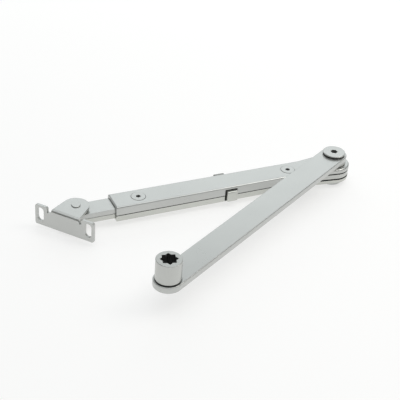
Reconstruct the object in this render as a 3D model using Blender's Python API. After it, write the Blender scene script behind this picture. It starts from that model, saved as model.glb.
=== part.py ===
"""Overhead door closer arm: main arm with spindle hub, elbow pivot, clamped telescopic forearm, foot bracket.

Lengths are in metres. The design is laid out round the elbow axis: the forearm runs along -X, +Z is up along
the three parallel hinge axes, and the assembly is finally set down so its box stands centred on the floor.
"""
import math

import bmesh
import bpy
from mathutils import Vector

MM = 0.001
GAP = 0.3 * MM                      # clearance between neighbours
PLAY = 0.1 * MM                     # end play of washers in a stack

# main arm
ARM_ANGLE = math.radians(30.09)     # angle between main arm and forearm as laid out
ARM_LENGTH = 263.2 * MM             # elbow axis to spindle axis
ARM_HALF = 12.5 * MM
ARM_Z0 = 18.35 * MM
ARM_Z1 = 24.3 * MM
ARM_EDGE = 0.75 * MM

# spindle hub
HUB_R = 10.9 * MM
HUB_TOP = 43.9 * MM
HUB_EDGE = 0.35 * MM
HUB_NECK_R = 9.4 * MM               # undercut neck between the hub and the bar
HUB_NECK = 0.95 * MM
HUB_TENON_R = 8.6 * MM
STAR_SIDE = 11.0 * MM               # two squares turned 45 degrees make the eight-point socket
STAR_FLOOR = 25.5 * MM
HUB_SCREW_R = 4.4 * MM

# forearm sleeve
SLEEVE_HALF = 11.9 * MM
SLEEVE_END = -228.1 * MM
SLEEVE_TOP = 15.5 * MM
SEAM_Z = 6.65 * MM
SEAM_HALF = 0.3 * MM
SLEEVE_EDGE = 1.5 * MM
EYE_R = 16.2 * MM
EYE_PLATE_R = 16.0 * MM
EYE_TAPER = math.radians(7.67)
EYE_MOUTH = -30.0 * MM              # the side walls stop here and show the eye plate
EYE_UPPER_Z = 11.2 * MM
EYE_LOWER_Z = 4.15 * MM
EYE_PLATE_Z0 = 5.2 * MM
EYE_PLATE_Z1 = 10.05 * MM
EYE_PLATE_END = -64.0 * MM
CHAMBER_END = -66.0 * MM            # inner end of the hollow for the sliding bar
CHAMBER_HALF = 9.95 * MM
CHAMBER_TOP = 13.15 * MM
CHAMBER_FLOOR = 2.65 * MM

# sliding bar, made of two flats
BAR_HALF = 9.65 * MM
BAR_Z0 = 3.0 * MM
BAR_SPLIT = 7.9 * MM
BAR_Z1 = 12.8 * MM
BAR_SPLIT_GAP = 0.1 * MM
BAR_INNER_END = -150.0 * MM
BAR_SLOT_INNER = -163.0 * MM        # centre of the slot's inner round end
BAR_SLOT_OUTER = -223.0 * MM
BAR_SLOT_HALF = 3.5 * MM
BAR_RIVET_X = -155.0 * MM
BAR_RIVET_R = 1.6 * MM

# clamp screws
SCREW_FRONT_X = -203.2 * MM
SCREW_REAR_X = -49.9 * MM
SCREW_HEAD_R = 6.6 * MM
SCREW_HEAD_RISE = 0.2 * MM          # the heads stand slightly proud
SCREW_RIM = 0.6 * MM                # upright rim above the countersunk cone
SCREW_SHANK_R = 3.0 * MM
SCREW_HEX = 4.0 * MM
SCREW_HEX_DEPTH = 2.2 * MM
SLEEVE_NUT_R = 4.6 * MM
SLEEVE_NUT_HEAD_R = 6.2 * MM

# cross key through the sleeve walls
KEY_X0 = -119.7 * MM
KEY_X1 = -109.0 * MM
KEY_Z0 = 1.6 * MM
KEY_Z1 = 11.8 * MM
KEY_NEAR = -14.7 * MM
KEY_FAR = 19.5 * MM
KEY_ROUND = 1.2 * MM
KEY_EDGE = 0.8 * MM
KEY_SLOT_TOP = 13.1 * MM
KEY_SLOT_X0 = -121.0 * MM
KEY_SLOT_X1 = -108.6 * MM

# elbow pivot
PIVOT_R = 5.0 * MM
PIVOT_HEAD_R = 10.75 * MM
PIVOT_HEAD_Z0 = 25.5 * MM
PIVOT_HEAD_Z1 = 26.9 * MM
PIVOT_HEAD_EDGE = 0.35 * MM
PIVOT_HEX = 6.0 * MM
PIVOT_HEX_DEPTH = 4.0 * MM
BUSH_R = 7.0 * MM
THRUST_R = 10.5 * MM
SPACER_R = 12.2 * MM
NUT_R = 11.2 * MM
NUT_Z0 = -4.8 * MM
NUT_Z1 = -0.3 * MM

# foot bracket
FOOT_X = -262.1 * MM
FOOT_ANGLE = math.radians(-49.9)
PLATE_OUT = 18.3 * MM               # hinge axis to the plate's outer face
PLATE_T = 2.5 * MM
PLATE_HALF = 30.1 * MM
PLATE_SHIFT = -0.6 * MM             # the plate sits this far along s from the lug
PLATE_Z0 = -1.1 * MM
EAR_Z1 = 19.0 * MM
EAR_INNER = 17.6 * MM
EAR_CORNER = 1.2 * MM
BEND_HALF = 15.0 * MM
NOTCH_Z = 13.7 * MM
BEND_R = 2.8 * MM
LUG_TOP = 18.0 * MM
LUG_R = 11.9 * MM
LUG_HALF_ROOT = 14.2 * MM
SLOT_S = 24.5 * MM
SLOT_HALF = 3.3 * MM
SLOT_Z0 = 2.9 * MM
SLOT_Z1 = 16.9 * MM
RIVET_HEAD_R = 4.1 * MM
RIVET_R = 3.2 * MM
RIVET_HEAD_H = 0.8 * MM
RIVET_TAIL_R = 6.0 * MM
FOOT_WASHER_T = 1.4 * MM

SEG = 64

SILVER = (0.60, 0.61, 0.60)
WARM_SILVER = (0.56, 0.56, 0.54)
STEEL = (0.50, 0.50, 0.49)
BLACK = (0.02, 0.02, 0.02)


def clear_scene():
    for obj in list(bpy.data.objects):
        bpy.data.objects.remove(obj, do_unlink=True)


def metal(name, colour, roughness, metallic):
    mat = bpy.data.materials.new(name)
    mat.use_nodes = True
    shader = mat.node_tree.nodes["Principled BSDF"]
    shader.inputs["Base Color"].default_value = (*colour, 1.0)
    shader.inputs["Roughness"].default_value = roughness
    shader.inputs["Metallic"].default_value = metallic
    mat.diffuse_color = (*colour, 1.0)
    return mat


def empty(name, parent=None, location=(0.0, 0.0, 0.0), turn=0.0):
    obj = bpy.data.objects.new(name, None)
    bpy.context.scene.collection.objects.link(obj)
    obj.parent = parent
    obj.location = location
    obj.rotation_euler = (0.0, 0.0, turn)
    return obj


def add_mesh(name, bm, parent, location=(0.0, 0.0, 0.0), turn=0.0):
    bmesh.ops.recalc_face_normals(bm, faces=bm.faces)
    mesh = bpy.data.meshes.new(name)
    bm.to_mesh(mesh)
    bm.free()
    obj = bpy.data.objects.new(name, mesh)
    bpy.context.scene.collection.objects.link(obj)
    obj.parent = parent
    obj.location = location
    obj.rotation_euler = (0.0, 0.0, turn)
    return obj


def arc(cx, cy, r, a0, a1, steps):
    return [(cx + r * math.cos(a0 + (a1 - a0) * k / steps), cy + r * math.sin(a0 + (a1 - a0) * k / steps))
            for k in range(steps + 1)]


def inset(outline, d):
    """Move every corner of a counter-clockwise outline inwards by d along both its edges."""
    count = len(outline)
    result = []
    for k in range(count):
        a = Vector(outline[k - 1])
        b = Vector(outline[k])
        c = Vector(outline[(k + 1) % count])
        u = (b - a).normalized()
        v = (c - b).normalized()
        n = Vector((-u.y - v.y, u.x + v.x)).normalized()
        scale = 1.0 / max(0.3, n.dot(Vector((-u.y, u.x))))
        result.append((b.x + n.x * d * scale, b.y + n.y * d * scale))
    return result


def slab(outline, levels):
    """Solid with the given plan outline; levels lists (height, inset) from bottom to top."""
    bm = bmesh.new()
    rings = []
    for z, d in levels:
        ring = [bm.verts.new((x, y, z)) for x, y in inset(outline, d)]
        rings.append(ring)
    count = len(outline)
    for low, high in zip(rings, rings[1:]):
        for k in range(count):
            bm.faces.new((low[k], low[(k + 1) % count], high[(k + 1) % count], high[k]))
    bm.faces.new(list(reversed(rings[0])))
    bm.faces.new(rings[-1])
    return bm


def rounded_levels(z0, z1, r0, r1, steps=4):
    """Levels for a slab whose bottom and top edges are rounded with radii r0 and r1."""
    levels = []
    if r0 > 0.0:
        for k in range(steps):
            a = math.pi / 2 * k / steps
            levels.append((z0 + r0 * (1 - math.cos(a)), r0 * (1 - math.sin(a))))
        levels.append((z0 + r0, 0.0))
    else:
        levels.append((z0, 0.0))
    if r1 > 0.0:
        for k in range(steps + 1):
            a = math.pi / 2 * k / steps
            levels.append((z1 - r1 * (1 - math.sin(a)), r1 * (1 - math.cos(a))))
    else:
        levels.append((z1, 0.0))
    return levels


def turned(profile, segments=SEG):
    """Solid of revolution about Z; profile is a closed loop of (radius, height), zero radius allowed."""
    bm = bmesh.new()
    loops = []
    for k in range(segments):
        a = 2 * math.pi * k / segments
        loops.append([None if r <= 0.0 else bm.verts.new((r * math.cos(a), r * math.sin(a), z))
                      for r, z in profile])
    poles = [bm.verts.new((0.0, 0.0, z)) if r <= 0.0 else None for r, z in profile]
    count = len(profile)
    for k in range(segments):
        here = loops[k]
        there = loops[(k + 1) % segments]
        for j in range(count):
            i = (j + 1) % count
            corners = []
            for v in (here[j] or poles[j], here[i] or poles[i], there[i] or poles[i], there[j] or poles[j]):
                if v not in corners:
                    corners.append(v)
            if len(corners) > 2:
                bm.faces.new(corners)
    return bm


def rod(radius, z0, z1, chamfer=0.0, segments=SEG):
    profile = [(0.0, z0), (radius - chamfer, z0), (radius, z0 + chamfer), (radius, z1 - chamfer),
               (radius - chamfer, z1), (0.0, z1)]
    if chamfer <= 0.0:
        profile = [(0.0, z0), (radius, z0), (radius, z1), (0.0, z1)]
    return turned(profile, segments)


def washer(r_in, r_out, z0, z1, chamfer, segments=SEG):
    profile = [(r_in, z0), (r_out - chamfer, z0), (r_out, z0 + chamfer), (r_out, z1 - chamfer),
               (r_out - chamfer, z1), (r_in, z1)]
    return turned(profile, segments)


def lengthwise(bm):
    """Lay a slab drawn in (y, z) along X."""
    for v in bm.verts:
        v.co = (v.co.z, v.co.x, v.co.y)
    return bm


def upright(bm):
    """Stand up a slab drawn in (x, z), so its thickness runs along Y."""
    for v in bm.verts:
        v.co = (v.co.x, v.co.z, v.co.y)
    return bm


def polygon(sides, across_flats):
    r = across_flats / 2 / math.cos(math.pi / sides)
    return arc(0.0, 0.0, r, 0.0, 2 * math.pi * (sides - 1) / sides, sides - 1)


def box_outline(x0, x1, y0, y1):
    return [(x0, y0), (x1, y0), (x1, y1), (x0, y1)]


def obround(x0, x1, half, steps=12):
    """Plan outline of a straight slot or bar with round ends centred at x0 and x1."""
    return arc(x1, 0.0, half, -math.pi / 2, math.pi / 2, steps) + arc(x0, 0.0, half, math.pi / 2,
                                                                      3 * math.pi / 2, steps)


def cut(obj, name, bm, location=(0.0, 0.0, 0.0), turn=0.0, operation='DIFFERENCE'):
    """Boolean obj with a hidden wire-drawn tool that shares its parent."""
    tool = add_mesh(name, bm, obj.parent, location, turn)
    tool.hide_render = True
    tool.display_type = 'WIRE'
    mod = obj.modifiers.new(name, 'BOOLEAN')
    mod.operation = operation
    mod.solver = 'EXACT'
    mod.object = tool
    return tool


def finish(obj, colour, roughness, metallic):
    obj.data.materials.append(metal(obj.name + "_finish", colour, roughness, metallic))


# ---------------------------------------------------------------- main arm and hub

def build_main_arm(frame):
    outline = obround(0.0, ARM_LENGTH, ARM_HALF, 28)
    levels = rounded_levels(ARM_Z0, ARM_Z1, ARM_EDGE, ARM_EDGE, 3)
    bar = add_mesh("main_arm_bar", slab(outline, levels), frame)
    cut(bar, "bush_hole", rod(BUSH_R + GAP, ARM_Z0 - MM, ARM_Z1 + MM))
    cut(bar, "tenon_hole", rod(HUB_TENON_R + GAP, ARM_Z0 - MM, ARM_Z1 + MM), (ARM_LENGTH, 0.0, 0.0))
    finish(bar, SILVER, 0.42, 0.55)


def build_hub(frame):
    foot = ARM_Z0 + ARM_EDGE
    seat = ARM_Z1 + PLAY / 2
    skirt = seat + HUB_NECK
    profile = [(0.0, foot), (HUB_TENON_R, foot), (HUB_TENON_R, seat), (HUB_NECK_R, seat), (HUB_NECK_R, skirt),
               (HUB_R - 0.2 * MM, skirt), (HUB_R, skirt + 0.2 * MM), (HUB_R, HUB_TOP - HUB_EDGE),
               (HUB_R - HUB_EDGE, HUB_TOP), (0.0, HUB_TOP)]
    centre = (ARM_LENGTH, 0.0, 0.0)
    hub = add_mesh("spindle_hub", turned(profile), frame, centre)
    cut(hub, "star_socket", slab(star_outline(), [(STAR_FLOOR, 0.0), (HUB_TOP + MM, 0.0)]), centre)
    cut(hub, "hub_screw_hole", rod(HUB_SCREW_R, ARM_Z0 - MM, STAR_FLOOR + MM), centre)
    finish(hub, SILVER, 0.40, 0.6)


def star_outline():
    """Eight-point outline where two equal squares overlap at 45 degrees."""
    tip = STAR_SIDE / math.sqrt(2)
    valley = STAR_SIDE / 2 / math.cos(math.pi / 8)
    points = []
    for k in range(8):
        a = math.pi / 4 * k
        b = a + math.pi / 8
        points.append((tip * math.cos(a), tip * math.sin(a)))
        points.append((valley * math.cos(b), valley * math.sin(b)))
    return points


# ---------------------------------------------------------------- elbow

def build_elbow(frame):
    bore = PIVOT_R + GAP
    ring = washer(bore, BUSH_R, ARM_Z0 + PLAY / 2, ARM_Z1 - PLAY / 2, 0.3 * MM)
    bush = add_mesh("elbow_bush", ring, frame)
    finish(bush, STEEL, 0.35, 0.8)
    ring = washer(bore, THRUST_R, ARM_Z1 + PLAY, PIVOT_HEAD_Z0 - PLAY, 0.2 * MM)
    thrust = add_mesh("elbow_thrust_washer", ring, frame)
    finish(thrust, BLACK, 0.6, 0.0)
    ring = washer(bore, SPACER_R, SLEEVE_TOP + PLAY, ARM_Z0 - PLAY, 0.5 * MM)
    spacer = add_mesh("elbow_spacer_washer", ring, frame)
    finish(spacer, STEEL, 0.4, 0.8)

    profile = [(0.0, NUT_Z0 + MM), (PIVOT_R - 0.8 * MM, NUT_Z0 + MM), (PIVOT_R, NUT_Z0 + 1.8 * MM),
               (PIVOT_R, PIVOT_HEAD_Z0), (PIVOT_HEAD_R - 0.2 * MM, PIVOT_HEAD_Z0),
               (PIVOT_HEAD_R, PIVOT_HEAD_Z0 + 0.2 * MM), (PIVOT_HEAD_R, PIVOT_HEAD_Z1 - PIVOT_HEAD_EDGE),
               (PIVOT_HEAD_R - PIVOT_HEAD_EDGE, PIVOT_HEAD_Z1), (0.0, PIVOT_HEAD_Z1)]
    screw = add_mesh("elbow_pivot_screw", turned(profile), frame)
    depth = [(PIVOT_HEAD_Z1 - PIVOT_HEX_DEPTH, 0.0), (PIVOT_HEAD_Z1 + MM, 0.0)]
    cut(screw, "pivot_hex", slab(polygon(6, PIVOT_HEX), depth), turn=ARM_ANGLE)
    finish(screw, STEEL, 0.3, 0.85)

    nut = add_mesh("elbow_nut", washer(bore, NUT_R, NUT_Z0, NUT_Z1, 0.6 * MM), frame)
    finish(nut, STEEL, 0.4, 0.8)

    levels = rounded_levels(EYE_PLATE_Z0, EYE_PLATE_Z1, 0.3 * MM, 0.3 * MM, 2)
    plate = add_mesh("elbow_eye_plate", slab(eye_plate_outline(), levels), frame)
    cut(plate, "plate_pivot_hole", rod(bore, 0.0, SLEEVE_TOP))
    cut(plate, "plate_screw_hole", rod(SLEEVE_NUT_R + GAP, 0.0, SLEEVE_TOP, segments=32),
        (SCREW_REAR_X, 0.0, 0.0))
    finish(plate, WARM_SILVER, 0.45, 0.6)


def eye_plate_outline():
    """Tongue that fills the sleeve, then a shoulder and the same taper and eye as the shells, set in."""
    tongue = CHAMBER_HALF - GAP
    shoulder = EYE_MOUTH + GAP
    touch_x = -EYE_PLATE_R * math.sin(EYE_TAPER)
    flare = EYE_PLATE_R * math.cos(EYE_TAPER) - (touch_x - shoulder) * math.tan(EYE_TAPER)
    a = math.pi / 2 + EYE_TAPER
    return ([(EYE_PLATE_END, -tongue), (shoulder, -tongue), (shoulder, -flare)]
            + arc(0.0, 0.0, EYE_PLATE_R, -a, a, 40)
            + [(shoulder, flare), (shoulder, tongue), (EYE_PLATE_END, tongue)])


# ---------------------------------------------------------------- forearm sleeve

def sleeve_outline():
    """Straight strip that widens by a shallow taper into the round elbow eye."""
    tx = -EYE_R * math.sin(EYE_TAPER)
    ty = EYE_R * math.cos(EYE_TAPER)
    start_x = tx - (ty - SLEEVE_HALF) / math.tan(EYE_TAPER)
    a = math.pi / 2 + EYE_TAPER
    return ([(SLEEVE_END, -SLEEVE_HALF), (start_x, -SLEEVE_HALF)] + arc(0.0, 0.0, EYE_R, -a, a, 40)
            + [(start_x, SLEEVE_HALF), (SLEEVE_END, SLEEVE_HALF)])


def build_sleeve(frame):
    outline = sleeve_outline()
    upper = add_mesh("forearm_upper_shell", slab(outline, rounded_levels(SEAM_Z + SEAM_HALF, SLEEVE_TOP,
                                                                         0.0, SLEEVE_EDGE)), frame)
    lower = add_mesh("forearm_lower_shell", slab(outline, rounded_levels(0.0, SEAM_Z - SEAM_HALF,
                                                                         SLEEVE_EDGE, 0.0)), frame)
    mouth = box_outline(EYE_MOUTH, EYE_R + MM, -EYE_R - MM, EYE_R + MM)
    chamber = box_outline(SLEEVE_END - MM, CHAMBER_END, -CHAMBER_HALF, CHAMBER_HALF)
    pocket = box_outline(CHAMBER_END - MM, EYE_MOUTH + MM, -CHAMBER_HALF, CHAMBER_HALF)
    slot = box_outline(KEY_SLOT_X0, KEY_SLOT_X1, -EYE_R, EYE_R)
    parts = ((upper, "upper", SEAM_Z - MM, CHAMBER_TOP, EYE_UPPER_Z, KEY_SLOT_TOP),
             (lower, "lower", SEAM_Z + MM, CHAMBER_FLOOR, EYE_LOWER_Z, KEY_Z0 - GAP))
    for shell, tag, open_z, chamber_z, eye_z, slot_z in parts:
        cut(shell, tag + "_chamber", slab(chamber, sorted([(open_z, 0.0), (chamber_z, 0.0)])))
        cut(shell, tag + "_pocket", slab(pocket, sorted([(open_z, 0.0), (eye_z, 0.0)])))
        cut(shell, tag + "_mouth", slab(mouth, sorted([(open_z, 0.0), (eye_z, 0.0)])))
        cut(shell, tag + "_key_slot", slab(slot, sorted([(open_z, 0.0), (slot_z, 0.0)])))
        cut(shell, tag + "_pivot_hole", rod(PIVOT_R + GAP, -MM, SLEEVE_TOP + MM))
    depth = SCREW_HEAD_R - SCREW_SHANK_R
    seat_top = SLEEVE_TOP + MM
    for x, tag in ((SCREW_FRONT_X, "front"), (SCREW_REAR_X, "rear")):
        seat = [(0.0, SEAM_Z - 2 * MM), (SLEEVE_NUT_R + GAP, SEAM_Z - 2 * MM),
                (SLEEVE_NUT_R + GAP, SLEEVE_TOP - depth + 1.3 * MM),
                (SCREW_HEAD_R + GAP, SLEEVE_TOP - 0.5 * MM),
                (SCREW_HEAD_R + GAP, seat_top), (0.0, seat_top)]
        cut(upper, tag + "_screw_seat", turned(seat, 48), (x, 0.0, 0.0))
        well = [(0.0, -MM), (SLEEVE_NUT_HEAD_R + GAP, -MM), (SLEEVE_NUT_HEAD_R + GAP, 1.3 * MM),
                (SLEEVE_NUT_R + GAP, 1.3 * MM), (SLEEVE_NUT_R + GAP, SEAM_Z + 2 * MM), (0.0, SEAM_Z + 2 * MM)]
        cut(lower, tag + "_nut_seat", turned(well, 48), (x, 0.0, 0.0))
    finish(upper, SILVER, 0.42, 0.55)
    finish(lower, WARM_SILVER, 0.42, 0.55)


def build_clamp(frame, x, tag):
    head_top = SLEEVE_TOP + SCREW_HEAD_RISE
    cone = head_top - SCREW_RIM
    neck = cone - (SCREW_HEAD_R - SCREW_SHANK_R) + 0.8 * MM
    profile = [(0.0, 3.0 * MM), (SCREW_SHANK_R - 0.4 * MM, 3.0 * MM), (SCREW_SHANK_R, 3.4 * MM),
               (SCREW_SHANK_R, neck), (SCREW_HEAD_R, cone), (SCREW_HEAD_R, head_top), (0.0, head_top)]
    screw = add_mesh("clamp_screw_" + tag, turned(profile, 48), frame, (x, 0.0, 0.0))
    cut(screw, tag + "_screw_hex", slab(polygon(6, SCREW_HEX), [(head_top - SCREW_HEX_DEPTH, 0.0),
                                                                (head_top + MM, 0.0)]), (x, 0.0, 0.0), 0.2)
    finish(screw, STEEL, 0.35, 0.8)
    inner = SCREW_SHANK_R + GAP
    top = neck - 0.6 * MM
    body = [(0.0, 0.2 * MM), (SLEEVE_NUT_HEAD_R, 0.2 * MM), (SLEEVE_NUT_HEAD_R, 1.0 * MM),
            (SLEEVE_NUT_R, 1.0 * MM), (SLEEVE_NUT_R, top), (inner, top), (inner, 2.2 * MM), (0.0, 2.2 * MM)]
    nut = add_mesh("clamp_sleeve_nut_" + tag, turned(body, 48), frame, (x, 0.0, 0.0))
    finish(nut, STEEL, 0.4, 0.8)


def build_cross_key(frame):
    """Flat key drawn as an end view in (y, z) with rounded top corners and drawn out along X."""
    shoulder = KEY_Z1 - KEY_ROUND
    outline = ([(KEY_NEAR, KEY_Z0), (KEY_FAR, KEY_Z0)]
               + arc(KEY_FAR - KEY_ROUND, shoulder, KEY_ROUND, 0.0, math.pi / 2, 6)
               + arc(KEY_NEAR + KEY_ROUND, shoulder, KEY_ROUND, math.pi / 2, math.pi, 6))
    solid = lengthwise(slab(outline, rounded_levels(KEY_X0, KEY_X1, KEY_EDGE, KEY_EDGE)))
    key = add_mesh("cross_key", solid, frame)
    finish(key, WARM_SILVER, 0.45, 0.55)


# ---------------------------------------------------------------- sliding bar

def build_sliding_bar(frame):
    outline = [(BAR_INNER_END, BAR_HALF)] + arc(FOOT_X, 0.0, BAR_HALF, math.pi / 2, 3 * math.pi / 2, 24)
    outline.append((BAR_INNER_END, -BAR_HALF))
    slot = obround(BAR_SLOT_OUTER, BAR_SLOT_INNER, BAR_SLOT_HALF + SLEEVE_NUT_R - SCREW_SHANK_R)
    rows = (("inner_bar_lower", BAR_Z0, BAR_SPLIT - BAR_SPLIT_GAP),
            ("inner_bar_upper", BAR_SPLIT + BAR_SPLIT_GAP, BAR_Z1))
    for name, z0, z1 in rows:
        bar = add_mesh(name, slab(outline, rounded_levels(z0, z1, 0.3 * MM, 0.3 * MM, 2)), frame)
        cut(bar, name + "_slot", slab(slot, [(z0 - MM, 0.0), (z1 + MM, 0.0)]))
        cut(bar, name + "_foot_hole", rod(RIVET_R + GAP, z0 - MM, z1 + MM, segments=48), (FOOT_X, 0.0, 0.0))
        cut(bar, name + "_rivet_hole", rod(BAR_RIVET_R + GAP, z0 - MM, z1 + MM, segments=24),
            (BAR_RIVET_X, 0.0, 0.0))
        finish(bar, WARM_SILVER, 0.4, 0.6)
    pin = rod(BAR_RIVET_R, BAR_Z0 + PLAY, BAR_Z1 - PLAY, 0.2 * MM, 24)
    rivet = add_mesh("bar_rivet", pin, frame, (BAR_RIVET_X, 0.0, 0.0))
    finish(rivet, STEEL, 0.4, 0.8)


# ---------------------------------------------------------------- foot bracket

def bracket_plate_outline():
    """Front view of the plate in (s, z): two raised ears with a deep notch each side of the bend."""
    c = EAR_CORNER
    half = [(EAR_INNER, EAR_Z1 - c), (EAR_INNER + c, EAR_Z1), (PLATE_HALF - c, EAR_Z1),
            (PLATE_HALF, EAR_Z1 - c), (PLATE_HALF, PLATE_Z0 + c), (PLATE_HALF - c, PLATE_Z0)]
    right = [(s + PLATE_SHIFT, z) for s, z in half]
    left = [(PLATE_SHIFT - s, z) for s, z in reversed(half)]
    root = [(BEND_HALF, LUG_TOP - BEND_R), (BEND_HALF, NOTCH_Z), (right[0][0], NOTCH_Z)]
    end = [(left[-1][0], NOTCH_Z), (-BEND_HALF, NOTCH_Z), (-BEND_HALF, LUG_TOP - BEND_R)]
    return root + right + left + end


def lug_outline():
    """Plan view of the lug in (s, d): straight root that narrows into a round nose about the hinge axis."""
    root = -PLATE_OUT - MM
    lean = math.atan2(LUG_HALF_ROOT - LUG_R, PLATE_OUT)
    nose = arc(0.0, 0.0, LUG_R, lean, math.pi - lean, 28)
    return [(-LUG_HALF_ROOT, root), (LUG_HALF_ROOT, root)] + nose


def build_bracket(frame):
    back = -PLATE_OUT + PLATE_T
    sheet = upright(slab(bracket_plate_outline(), [(-PLATE_OUT, 0.0), (back, 0.0)]))
    plate = add_mesh("foot_bracket", sheet, frame)
    for side in (-1, 1):
        hole = [(PLATE_SHIFT + side * SLOT_S + x, z) for x, z in slot_outline()]
        cut(plate, "bracket_slot_left" if side < 0 else "bracket_slot_right",
            upright(slab(hole, [(-PLATE_OUT - MM, 0.0), (back + MM, 0.0)])))
    inner_r = BEND_R - PLATE_T
    pivot = (-PLATE_OUT + BEND_R, LUG_TOP - BEND_R)
    bend = arc(*pivot, BEND_R, math.pi, math.pi / 2, 8)
    hollow = arc(*pivot, inner_r, math.pi / 2, math.pi, 4)
    section = bend + [(LUG_R + MM, LUG_TOP), (LUG_R + MM, LUG_TOP - PLATE_T)] + hollow
    section += [(back, NOTCH_Z - 0.5 * MM), (-PLATE_OUT, NOTCH_Z - 0.5 * MM)]
    strip = lengthwise(slab(section, [(-BEND_HALF, 0.0), (BEND_HALF, 0.0)]))
    lug = cut(plate, "bracket_lug", strip, operation='UNION')
    trim = lug.modifiers.new("lug_trim", 'BOOLEAN')
    shape = add_mesh("lug_shape", slab(lug_outline(), [(NOTCH_Z - MM, 0.0), (LUG_TOP + MM, 0.0)]), frame)
    shape.hide_render = True
    shape.display_type = 'WIRE'
    trim.operation = 'INTERSECT'
    trim.solver = 'EXACT'
    trim.object = shape
    cut(plate, "lug_rivet_hole", rod(RIVET_R + GAP, NOTCH_Z, LUG_TOP + MM, segments=48))
    finish(plate, SILVER, 0.45, 0.55)


def slot_outline():
    low = SLOT_Z0 + SLOT_HALF
    high = SLOT_Z1 - SLOT_HALF
    return (arc(0.0, low, SLOT_HALF, math.pi, 2 * math.pi, 10) + arc(0.0, high, SLOT_HALF, 0.0, math.pi, 10))


def build_foot_pivot(frame):
    under = BAR_Z0 - FOOT_WASHER_T
    head = LUG_TOP + PLAY / 2
    seat = under - PLAY
    crown = head + RIVET_HEAD_H
    profile = [(0.0, under - MM), (RIVET_TAIL_R - 1.2 * MM, under - MM), (RIVET_TAIL_R - 0.5 * MM, seat),
               (RIVET_R, seat), (RIVET_R, head), (RIVET_HEAD_R, head), (RIVET_HEAD_R, crown - 0.3 * MM),
               (RIVET_HEAD_R - 0.4 * MM, crown), (0.0, crown)]
    rivet = add_mesh("foot_rivet", turned(profile, 48), frame)
    finish(rivet, SILVER, 0.4, 0.6)
    rows = (("foot_spacer_washer", BAR_HALF - MM, BAR_Z1, LUG_TOP - PLATE_T),
            ("foot_lower_washer", RIVET_TAIL_R + 0.8 * MM, under, BAR_Z0))
    for name, radius, z0, z1 in rows:
        ring = washer(RIVET_R + GAP, radius, z0 + PLAY, z1 - PLAY, 0.25 * MM, 48)
        finish(add_mesh(name, ring, frame), STEEL, 0.4, 0.8)


def stand_on_floor(root):
    """Shift the whole assembly so its box stands centred on the floor."""
    bpy.context.view_layer.update()
    corners = [obj.matrix_world @ v.co for obj in bpy.data.objects
               if obj.type == 'MESH' and not obj.hide_render for v in obj.data.vertices]
    low = [min(c[k] for c in corners) for k in range(3)]
    high = [max(c[k] for c in corners) for k in range(3)]
    root.location = (-(low[0] + high[0]) / 2, -(low[1] + high[1]) / 2, -low[2])


def build():
    clear_scene()
    root = empty("door_closer_arm")
    main_frame = empty("main_arm_frame", root, turn=math.pi + ARM_ANGLE)
    elbow = empty("elbow_axis", root)
    slide = empty("telescope_axis", elbow)
    foot = empty("foot_axis", slide, (FOOT_X, 0.0, 0.0), FOOT_ANGLE)
    build_main_arm(main_frame)
    build_hub(main_frame)
    build_elbow(elbow)
    build_sleeve(elbow)
    build_clamp(elbow, SCREW_FRONT_X, "front")
    build_clamp(elbow, SCREW_REAR_X, "rear")
    build_cross_key(elbow)
    build_sliding_bar(slide)
    build_bracket(foot)
    build_foot_pivot(foot)
    stand_on_floor(root)


build()
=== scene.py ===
import math

import bpy
import bmesh
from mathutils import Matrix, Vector


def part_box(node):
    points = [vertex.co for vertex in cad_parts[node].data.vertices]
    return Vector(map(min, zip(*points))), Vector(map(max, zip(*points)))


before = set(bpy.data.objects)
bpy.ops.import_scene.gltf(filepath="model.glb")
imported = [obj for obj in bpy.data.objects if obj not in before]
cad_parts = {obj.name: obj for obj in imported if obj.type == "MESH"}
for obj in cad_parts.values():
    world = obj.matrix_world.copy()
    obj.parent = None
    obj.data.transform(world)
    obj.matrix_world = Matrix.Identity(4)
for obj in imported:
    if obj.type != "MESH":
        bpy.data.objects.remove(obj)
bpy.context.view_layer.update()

MM = 0.001

# camera, placed from the elbow axis at the height where the forearm's underside lies
CAMERA_FROM_ELBOW = (-485.4, -711.0, 513.4)     # millimetres
CAMERA_TURN = (56.85, -3.62, -23.49)            # degrees
CAMERA_LENS = 90.4
SENSOR_WIDTH = 36.0
FOREARM_BASE = 4.8 * MM             # forearm underside above the lowest point

# colours of the part
SILVER = (0.53, 0.54, 0.525)
WARM = (0.53, 0.54, 0.52)
# lighter copy of the silver: painted light on the lower shell, the cross key and the lower bar, for the
# light they take from the table
LIT_SILVER = (0.575, 0.585, 0.55)
ZINC = (0.52, 0.53, 0.52)
LIGHT_ZINC = (0.74, 0.74, 0.72)
# dark bare metal, also the colour of the painted shade in gaps
DARK = (0.012, 0.016, 0.014)
BLACK = (0.006, 0.006, 0.006)
RUBBED = (0.62, 0.62, 0.60)         # paint worn thin on the edges

# satin silver paint
PAINT_METALLIC = 0.8
PAINT_ROUGHNESS = (0.27, 0.33)
PAINT_CLOUD = 22.0                  # noise scales, per metre
PAINT_PEEL = 1500.0
PAINT_FLAKE = 5200.0
PAINT_WEAR = 260.0
PAINT_EDGE = 0.35 * MM              # softening of the painted edges
PEEL_DEPTH = 0.01 * MM
PEEL_STRENGTH = 0.12
JOINT_SHADE_REACH = 2.2 * MM            # how far the painted shade reaches from a joint
SCREW_SHADE_REACH = 0.8 * MM
BAR_SHADE_REACH = 0.4 * MM

# turned and plated steel
STEEL_METALLIC = 0.75
STEEL_ROUGHNESS = (0.25, 0.4)
DULL_ROUGHNESS = (0.4, 0.55)
STEEL_CLOUD = 60.0
STEEL_GRAIN = 2500.0
STEEL_EDGE = 0.2 * MM
# how far the painted shade reaches from a joint on the steel
STEEL_SHADE_REACH = 0.5 * MM
TOOL_PITCH = 0.28 * MM              # spacing of the tool marks
TOOL_DEPTH = 0.01 * MM

# black moulded washer
POLYMER_MOTTLE = 900.0
POLYMER_ROUGHNESS = (0.45, 0.65)
POLYMER_EDGE = 0.15 * MM
POLYMER_DEPTH = 0.02 * MM

SURFACE_STRENGTH = 0.5              # strength of the steel's and the washer's relief
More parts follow.
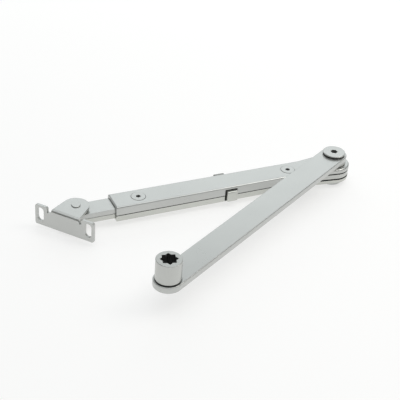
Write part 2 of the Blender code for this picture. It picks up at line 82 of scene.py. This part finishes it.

# where bare, dark metal shows, and where shade is painted
SOCKET_RADIUS = 8.3 * MM
SOCKET_RIM = 0.35 * MM              # painted rim at the mouth of the socket
SOCKET_DARK = 0.6
# painted shade under the hub's overhang, over the dark bare metal of its undercut neck
NECK_HEIGHT = 0.95 * MM
NECK_DARK = 0.7
HUB_SHADOW = (10.9 * MM, 11.9 * MM) # painted shadow ring on the bar, from full to none
HUB_SHADOW_DARK = 0.6
HEX_REACH = 0.6                     # of the size across flats
HEX_RIM = 0.3 * MM
HEX_DARK = 0.5
PIVOT_HEX = 6.0 * MM
CLAMP_HEX = 4.0 * MM
EYE_START = 29.9 * MM               # the gaps beside the eye plate begin this far from the elbow
GAP_BELOW_PLATE = 1.15 * MM
GAP_ABOVE_PLATE = 1.25 * MM
SEAM_HALF = 0.35 * MM
FACE_SKIN = 0.1 * MM
# painted shade on the far end of the key, beyond this distance from the elbow
KEY_FAR_END = 12.0 * MM
KEY_FAR_DARK = 0.55

# table
FLOOR = (0.40, 0.397, 0.393)
FLOOR_GLOW = 0.62                   # the table is lit from below, so shadows on it stay faint
FLOOR_GLOW_COLOUR = (1.0, 1.0, 0.995)
FLOOR_REACH = 6.0
FLOOR_STEPS = 6
FLOOR_DROP = 0.05 * MM

# surroundings
PALE_WALL = (0.42, 0.435, 0.44)
CEILING = (1.55, 1.58, 1.60)
DARK_ROOM = (0.07, 0.065, 0.045)
BACKDROP = (0.93, 0.94, 0.96)       # what stands behind the table
ROOM_SIDE = (-0.15, -0.99, 0.0)     # towards the viewer
ROOM_TURN = (-0.35, 0.1)            # how far round the dark room fades in
ROOM_TOP = (0.35, 0.65)             # height, as a sine, over which it fades out
CEILING_EDGE = (0.78, 0.94)         # height, as a sine, over which the ceiling fades in


def centre(node):
    low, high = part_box(node)
    return (Vector(low) + Vector(high)) / 2


ELBOW = centre("elbow_pivot_screw")
HUB = centre("spindle_hub")
HUB_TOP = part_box("spindle_hub")[1][2]
ARM_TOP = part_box("main_arm_bar")[1][2]
PLATE_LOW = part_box("elbow_eye_plate")[0][2]
PLATE_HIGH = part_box("elbow_eye_plate")[1][2]
SEAM = (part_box("forearm_lower_shell")[1][2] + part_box("forearm_upper_shell")[0][2]) / 2


# ---------------------------------------------------------------- material building blocks

class Wiring:
    """Short names for adding and linking shader nodes."""

    def __init__(self, name, seed=0.0):
        self.mat = bpy.data.materials.new(name)
        self.mat.use_nodes = True
        self.tree = self.mat.node_tree
        self.shader = self.tree.nodes["Principled BSDF"]
        self.place = self.add("ShaderNodeTexCoord").outputs["Object"]
        shifted = self.add("ShaderNodeVectorMath", operation="ADD")
        self.link(self.place, shifted.inputs[0])
        shifted.inputs[1].default_value = (seed, seed * 0.7, seed * 0.3)
        self.grain = shifted.outputs[0]

    def add(self, kind, **settings):
        node = self.tree.nodes.new(kind)
        for key, value in settings.items():
            setattr(node, key, value)
        return node

    def link(self, out, into):
        self.tree.links.new(out, into)

    def feed(self, socket, value):
        if isinstance(value, bpy.types.NodeSocket):
            self.link(value, socket)
        else:
            socket.default_value = value

    def into(self, name, value):
        self.feed(self.shader.inputs[name], value)

    def math(self, operation, a, b=0.0):
        node = self.add("ShaderNodeMath", operation=operation)
        self.feed(node.inputs[0], a)
        self.feed(node.inputs[1], b)
        return node.outputs[0]

    def noise(self, scale, detail=4.0, rough=0.55):
        node = self.add("ShaderNodeTexNoise")
        node.inputs["Scale"].default_value = scale
        node.inputs["Detail"].default_value = detail
        node.inputs["Roughness"].default_value = rough
        self.link(self.grain, node.inputs["Vector"])
        return node.outputs["Fac"]

    def span(self, value, low, high, to_low, to_high):
        node = self.add("ShaderNodeMapRange")
        for socket, number in zip(node.inputs, (value, low, high, to_low, to_high)):
            self.feed(socket, number)
        return node.outputs[0]

    def blend(self, fac, a, b):
        node = self.add("ShaderNodeMix", data_type="RGBA")
        self.feed(node.inputs["Factor"], fac)
        for name, value in (("A", a), ("B", b)):
            socket = next(s for s in node.inputs if s.name == name and s.type == "RGBA")
            if isinstance(value, tuple):
                value = (*value, 1.0)
            self.feed(socket, value)
        return next(s for s in node.outputs if s.type == "RGBA")

    def axes(self):
        node = self.add("ShaderNodeSeparateXYZ")
        self.link(self.place, node.inputs[0])
        return node.outputs

    def distance_from(self, point):
        """Distance in plan from an upright axis through the point."""
        x, y, _ = self.axes()
        dx = self.math("SUBTRACT", x, point[0])
        dy = self.math("SUBTRACT", y, point[1])
        square = self.math("ADD", self.math("MULTIPLY", dx, dx), self.math("MULTIPLY", dy, dy))
        return self.math("SQRT", square)

    def between(self, value, low, high):
        return self.math("MULTIPLY", self.math("GREATER_THAN", value, low),
                         self.math("LESS_THAN", value, high))

    def soft_edge(self, radius):
        node = self.add("ShaderNodeBevel", samples=6)
        node.inputs["Radius"].default_value = radius
        return node.outputs[0]

    def edge_mask(self, radius, start, end):
        """1 where the surface turns over an edge, judged from the rounded normal against the flat one."""
        dot = self.add("ShaderNodeVectorMath", operation="DOT_PRODUCT")
        self.link(self.soft_edge(radius), dot.inputs[0])
        self.link(self.add("ShaderNodeNewGeometry").outputs["Normal"], dot.inputs[1])
        return self.span(dot.outputs["Value"], start, end, 0.0, 1.0)

    def crevice(self, reach):
        node = self.add("ShaderNodeAmbientOcclusion", samples=8)
        node.inputs["Distance"].default_value = reach
        return node.outputs["AO"]

    def bump(self, height, distance, strength, normal):
        node = self.add("ShaderNodeBump")
        node.inputs["Distance"].default_value = distance
        node.inputs["Strength"].default_value = strength
        self.link(height, node.inputs["Height"])
        self.link(normal, node.inputs["Normal"])
        return node.outputs[0]


def shade(colour, factor):
    return tuple(min(1.0, channel * factor) for channel in colour)


def enamel(name, colour, seed, dark_mask=None, reach=JOINT_SHADE_REACH):
    """Satin silver paint: metal flake, faint orange peel, rubbed edges, painted shade in the joints."""
    w = Wiring(name, seed)
    cloud = w.noise(PAINT_CLOUD, 3.0, 0.5)
    peel = w.noise(PAINT_PEEL, 2.0, 0.6)
    flake = w.noise(PAINT_FLAKE, 1.0, 0.5)
    base = w.blend(w.span(cloud, 0.35, 0.65, 0.0, 1.0), shade(colour, 0.97), shade(colour, 1.03))
    base = w.blend(w.span(flake, 0.3, 0.7, 0.0, 0.08), base, shade(colour, 1.5))
    worn = w.span(w.noise(PAINT_WEAR, 3.0), 0.42, 0.62, 0.0, 0.55)
    base = w.blend(w.math("MULTIPLY", w.edge_mask(PAINT_EDGE, 0.97, 0.86), worn), base, RUBBED)
    # painted shade: the paint darkens where ambient occlusion finds a joint
    crevice_shade = w.span(w.crevice(reach), 0.25, 0.8, 0.62, 0.0)
    base = w.blend(crevice_shade, base, shade(colour, 0.22))
    if dark_mask is not None:
        base = w.blend(dark_mask(w), base, DARK)
    w.into("Base Color", base)
    w.into("Metallic", PAINT_METALLIC)
    mixed = w.math("ADD", w.math("MULTIPLY", cloud, 0.5), w.math("MULTIPLY", peel, 0.5))
    w.into("Roughness", w.span(mixed, 0.3, 0.7, *PAINT_ROUGHNESS))
    w.into("Normal", w.bump(peel, PEEL_DEPTH, PEEL_STRENGTH, w.soft_edge(PAINT_EDGE)))
    return w.mat


def plated(name, colour, axis_point, rough=STEEL_ROUGHNESS):
    """Turned or plated steel with fine concentric tool marks round an upright axis, and painted shade in
    its joints.
    """
    w = Wiring(name)
    cloud = w.noise(STEEL_CLOUD, 3.0)
    base = w.blend(w.span(cloud, 0.35, 0.65, 0.0, 1.0), shade(colour, 0.9), shade(colour, 1.08))
    # painted shade: the steel darkens where ambient occlusion finds a joint
    crevice_shade = w.span(w.crevice(STEEL_SHADE_REACH), 0.2, 0.7, 0.7, 0.0)
    w.into("Base Color", w.blend(crevice_shade, base, shade(colour, 0.15)))
    w.into("Metallic", STEEL_METALLIC)
    w.into("Roughness", w.span(cloud, 0.3, 0.7, *rough))
    ring = w.math("SINE", w.math("MULTIPLY", w.distance_from(axis_point), 2 * math.pi / TOOL_PITCH))
    height = w.math("ADD", w.math("MULTIPLY", ring, 0.5), w.noise(STEEL_GRAIN, 2.0))
    w.into("Normal", w.bump(height, TOOL_DEPTH, SURFACE_STRENGTH, w.soft_edge(STEEL_EDGE)))
    return w.mat


def polymer(name):
    """Matt black moulded washer with a slight mottle."""
    w = Wiring(name)
    mottle = w.noise(POLYMER_MOTTLE, 3.0)
    w.into("Base Color", w.blend(mottle, BLACK, shade(BLACK, 2.2)))
    w.into("Roughness", w.span(mottle, 0.3, 0.7, *POLYMER_ROUGHNESS))
    w.into("Normal", w.bump(mottle, POLYMER_DEPTH, SURFACE_STRENGTH, w.soft_edge(POLYMER_EDGE)))
    return w.mat


# ---------------------------------------------------------------- where bare, dark metal shows, and where shade is painted

def inside_star(w):
    """The broached socket of the hub is left unpainted and dark; its undercut neck is darkened with
    painted shade under the hub's overhang, over dark bare metal.
    """
    z = w.axes()[2]
    socket = w.math("MULTIPLY", w.math("LESS_THAN", w.distance_from(HUB), SOCKET_RADIUS),
                    w.math("LESS_THAN", z, HUB_TOP - SOCKET_RIM))
    neck = w.math("LESS_THAN", z, ARM_TOP + NECK_HEIGHT)
    return w.math("MAXIMUM", w.math("MULTIPLY", socket, SOCKET_DARK), w.math("MULTIPLY", neck, NECK_DARK))


def inside_hex(point, across, top):
    """The bare hexagon hole in a screw head."""
    def mask(w):
        low = w.math("LESS_THAN", w.axes()[2], top - HEX_RIM)
        inside = w.math("MULTIPLY", w.math("LESS_THAN", w.distance_from(point), across * HEX_REACH), low)
        return w.math("MULTIPLY", inside, HEX_DARK)
    return mask


def elbow_gaps(w):
    """Painted shade on the faces that look into the two gaps beside the eye plate, and on the shells'
    mating faces.
    """
    x, _, z = w.axes()
    gaps = w.math("MAXIMUM", w.between(z, PLATE_LOW - GAP_BELOW_PLATE, PLATE_LOW + FACE_SKIN),
                  w.between(z, PLATE_HIGH - FACE_SKIN, PLATE_HIGH + GAP_ABOVE_PLATE))
    at_eye = w.math("MULTIPLY", gaps, w.math("GREATER_THAN", x, ELBOW.x - EYE_START))
    return w.math("MAXIMUM", at_eye, w.between(z, SEAM - SEAM_HALF, SEAM + SEAM_HALF))


def plate_faces(w):
    """Painted shade on the eye plate's upper and lower faces, but not its rim."""
    rim = w.between(w.axes()[2], PLATE_LOW + FACE_SKIN, PLATE_HIGH - FACE_SKIN)
    return w.math("SUBTRACT", 1.0, rim)


def far_end(w):
    """The far end of the key is darkened with painted shade."""
    beyond = w.math("GREATER_THAN", w.axes()[1], ELBOW.y + KEY_FAR_END)
    return w.math("MULTIPLY", beyond, KEY_FAR_DARK)


def hub_ring_shadow(w):
    """Painted shadow on the bar round the foot of the hub, fading outwards."""
    ring = w.span(w.distance_from(HUB), *HUB_SHADOW, HUB_SHADOW_DARK, 0.0)
    return w.math("MULTIPLY", ring, w.math("GREATER_THAN", w.axes()[2], ARM_TOP - 2 * FACE_SKIN))


# ---------------------------------------------------------------- finishes for the carried-over nodes

def assign(node, material):
    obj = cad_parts[node]
    if not obj.material_slots:
        obj.data.materials.append(material)
    for slot in obj.material_slots:
        slot.material = material


def dress_nodes():
    assign("main_arm_bar", enamel("main_arm_enamel", SILVER, 0.11, hub_ring_shadow, BAR_SHADE_REACH))
    for node, name, colour, seed, dark_mask in (
            ("spindle_hub", "hub_enamel", WARM, 0.23, inside_star),
            ("forearm_upper_shell", "upper_shell_enamel", SILVER, 0.37, elbow_gaps),
            ("forearm_lower_shell", "lower_shell_enamel", LIT_SILVER, 0.41, elbow_gaps),
            ("elbow_eye_plate", "eye_plate_enamel", WARM, 0.53, plate_faces),
            ("cross_key", "cross_key_enamel", LIT_SILVER, 0.61, far_end),
            ("inner_bar_upper", "bar_upper_enamel", SILVER, 0.71, None),
            ("inner_bar_lower", "bar_lower_enamel", LIT_SILVER, 0.83, None),
            ("foot_bracket", "bracket_enamel", SILVER, 0.97, None),
            ("foot_rivet", "rivet_enamel", SILVER, 1.07, None)):
        assign(node, enamel(name, colour, seed, dark_mask))
    for node, across in (("elbow_pivot_screw", PIVOT_HEX), ("clamp_screw_front", CLAMP_HEX),
                         ("clamp_screw_rear", CLAMP_HEX)):
        point = centre(node)
        hole = inside_hex(point, across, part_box(node)[1][2])
        assign(node, enamel(node + "_finish", SILVER, across / MM + point.x, hole, SCREW_SHADE_REACH))
    for node in ("elbow_bush", "elbow_nut", "clamp_sleeve_nut_front", "clamp_sleeve_nut_rear", "bar_rivet",
                 "foot_spacer_washer", "foot_lower_washer"):
        assign(node, plated(node + "_plating", ZINC, centre(node)))
    assign("elbow_spacer_washer", plated("elbow_spacer_plating", LIGHT_ZINC, ELBOW, DULL_ROUGHNESS))
    assign("elbow_thrust_washer", polymer("thrust_washer_acetal"))


# ---------------------------------------------------------------- stage, light and camera

def build_floor():
    """Wide plain table with the faintest unevenness of colour."""
    bm = bmesh.new()
    marks = [FLOOR_REACH * (2 * i / FLOOR_STEPS - 1) for i in range(FLOOR_STEPS + 1)]
    grid = [[bm.verts.new((x, y, -FLOOR_DROP)) for x in marks] for y in marks]
    for j in range(FLOOR_STEPS):
        for i in range(FLOOR_STEPS):
            bm.faces.new((grid[j][i], grid[j][i + 1], grid[j + 1][i + 1], grid[j + 1][i]))
    mesh = bpy.data.meshes.new("table")
    bm.to_mesh(mesh)
    bm.free()
    floor = bpy.data.objects.new("table", mesh)
    bpy.context.scene.collection.objects.link(floor)
    w = Wiring("table_laminate")
    w.into("Base Color", w.blend(w.noise(6.0, 3.0), shade(FLOOR, 0.995), FLOOR))
    w.into("Roughness", 0.75)
    w.into("Specular IOR Level", 0.2)
    w.into("Emission Color", (*FLOOR_GLOW_COLOUR, 1.0))
    w.into("Emission Strength", FLOOR_GLOW)
    mesh.materials.append(w.mat)


def area_light(name, place, aim, size, power, colour):
    data = bpy.data.lights.new(name, "AREA")
    data.shape = "RECTANGLE"
    data.size, data.size_y = size
    data.energy = power
    data.color = colour
    obj = bpy.data.objects.new(name, data)
    obj.location = place
    obj.rotation_euler = (Vector(aim) - Vector(place)).to_track_quat("-Z", "Y").to_euler()
    bpy.context.scene.collection.objects.link(obj)


def build_world():
    """Even pale surroundings with a darker room on the viewer's side, below the top light."""
    world = bpy.data.worlds.new("studio")
    bpy.context.scene.world = world
    world.use_nodes = True
    tree = world.node_tree

    def fade(value, limits, start, end):
        node = tree.nodes.new("ShaderNodeMapRange")
        node.interpolation_type = "SMOOTHSTEP"
        tree.links.new(value, node.inputs["Value"])
        for socket, number in zip(list(node.inputs)[1:5], (*limits, start, end)):
            socket.default_value = number
        return node.outputs[0]

    way = tree.nodes.new("ShaderNodeTexCoord").outputs["Generated"]
    parts = tree.nodes.new("ShaderNodeSeparateXYZ")
    tree.links.new(way, parts.inputs[0])
    towards = tree.nodes.new("ShaderNodeVectorMath")
    towards.operation = "DOT_PRODUCT"
    tree.links.new(way, towards.inputs[0])
    towards.inputs[1].default_value = ROOM_SIDE
    room = tree.nodes.new("ShaderNodeMath")
    room.operation = "MULTIPLY"
    tree.links.new(fade(towards.outputs["Value"], ROOM_TURN, 0.0, 1.0), room.inputs[0])
    tree.links.new(fade(parts.outputs["Z"], ROOM_TOP, 1.0, 0.0), room.inputs[1])
    overhead = fade(parts.outputs["Z"], CEILING_EDGE, 0.0, 1.0)

    result = None
    for factor, colour in ((overhead, CEILING), (room.outputs[0], DARK_ROOM)):
        tint = tree.nodes.new("ShaderNodeMix")
        tint.data_type = "RGBA"
        tree.links.new(factor, tint.inputs["Factor"])
        under, over = [socket for socket in tint.inputs if socket.type == "RGBA"]
        under.default_value = (*PALE_WALL, 1.0)
        over.default_value = (*colour, 1.0)
        if result is not None:
            tree.links.new(result, under)
        result = next(socket for socket in tint.outputs if socket.type == "RGBA")

    back = tree.nodes["Background"]
    tree.links.new(result, back.inputs["Color"])
    seen = tree.nodes.new("ShaderNodeBackground")
    seen.inputs["Color"].default_value = (*BACKDROP, 1.0)
    pick = tree.nodes.new("ShaderNodeMixShader")
    tree.links.new(tree.nodes.new("ShaderNodeLightPath").outputs["Is Camera Ray"], pick.inputs[0])
    tree.links.new(back.outputs[0], pick.inputs[1])
    tree.links.new(seen.outputs[0], pick.inputs[2])
    tree.links.new(pick.outputs[0], tree.nodes["World Output"].inputs[0])


def build_light():
    build_world()
    area_light("back_softbox", (0.30, 0.85, 0.50), (0.0, 0.0, 0.0), (1.2, 0.5), 1.7, (0.95, 0.99, 1.0))
    area_light("top_softbox", (0.60, -0.20, 0.80), (0.05, 0.0, 0.0), (0.5, 0.5), 2.0, (1.0, 0.97, 0.92))


def build_camera():
    data = bpy.data.cameras.new("view")
    data.lens = CAMERA_LENS
    data.sensor_width = SENSOR_WIDTH
    data.clip_start = 0.01
    data.clip_end = 50.0
    camera = bpy.data.objects.new("view", data)
    camera.location = Vector((ELBOW.x, ELBOW.y, FOREARM_BASE)) + Vector(CAMERA_FROM_ELBOW) * MM
    camera.rotation_euler = [math.radians(angle) for angle in CAMERA_TURN]
    bpy.context.scene.collection.objects.link(camera)
    bpy.context.scene.camera = camera
    bpy.context.scene.view_settings.view_transform = "Standard"


build_camera()
build_floor()
build_light()
dress_nodes()
